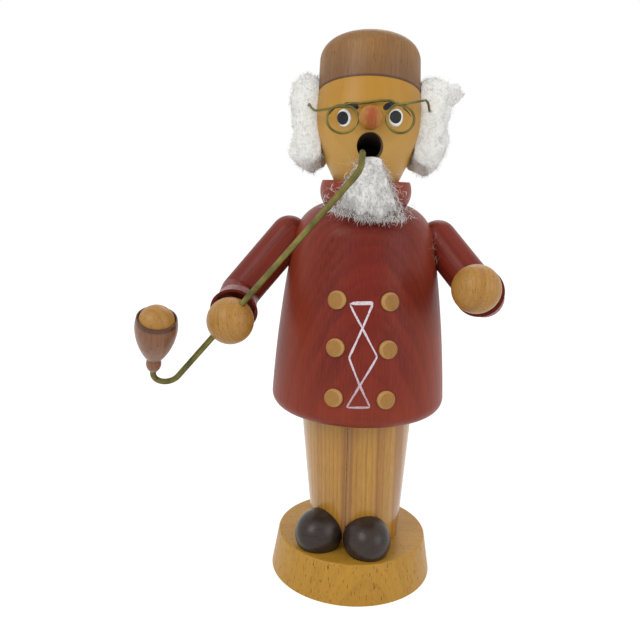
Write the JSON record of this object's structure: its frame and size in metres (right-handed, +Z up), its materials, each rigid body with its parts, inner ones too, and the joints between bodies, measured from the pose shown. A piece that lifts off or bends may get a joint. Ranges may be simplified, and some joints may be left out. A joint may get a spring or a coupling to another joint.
{
  "type": "incense smoker",
  "caption": "Turned wooden incense smoker: a bearded man in a red coat with a long pipe, who lifts off a round stand over the incense plate.",
  "frame": {"origin": "centre of the base's underside", "axes": "+Z up; the figure faces -Y; +X is to the right of a viewer in front"},
  "size_m": [0.1238, 0.0777, 0.1993],
  "materials": {
    "light_wood": "clear satin lacquer",
    "red_wood": "red stain under satin lacquer",
    "walnut_wood": "clear satin lacquer",
    "dark_wood": "dark stain under gloss lacquer",
    "brass_wire": "drawn and tarnished",
    "plate_tin": "pressed tinplate",
    "nail_steel": "bright",
    "wool": "loose white wool"
  },
  "bodies": {
    "stand": {"base": "light_wood", "legs": "light_wood", "leg_dowel": "light_wood", "left_shoe": "dark_wood", "right_shoe": "dark_wood", "shoe_pins": "light_wood", "incense_plate": "plate_tin", "plate_nail": "nail_steel"},
    "figure": {"coat": "red_wood", "collar": "red_wood", "top_left_button": "light_wood", "top_right_button": "light_wood", "middle_left_button": "light_wood", "middle_right_button": "light_wood", "bottom_left_button": "light_wood", "bottom_right_button": "light_wood", "left_upper_arm": "red_wood", "right_upper_arm": "red_wood", "left_sleeve": "red_wood", "right_sleeve": "red_wood", "shoulder_dowels": "light_wood", "elbow_dowels": "light_wood", "hand_pegs": "light_wood", "left_hand": "light_wood", "right_hand": "light_wood", "neck_tube": "light_wood", "head": "light_wood", "nose": "light_wood", "hat": "walnut_wood", "hat_dowel": "light_wood", "spectacles": "brass_wire", "pipe_stem": "brass_wire", "pipe_ring": "dark_wood", "pipe_bowl": "dark_wood", "pipe_bead": "light_wood", "hair": "wool", "beard": "wool"}
  },
  "joints": [
    {"name": "figure_lift", "type": "slide", "parent": "stand", "child": "figure", "axis": [0, 0, 1], "range_m": [0, 0.05]}
  ]
}
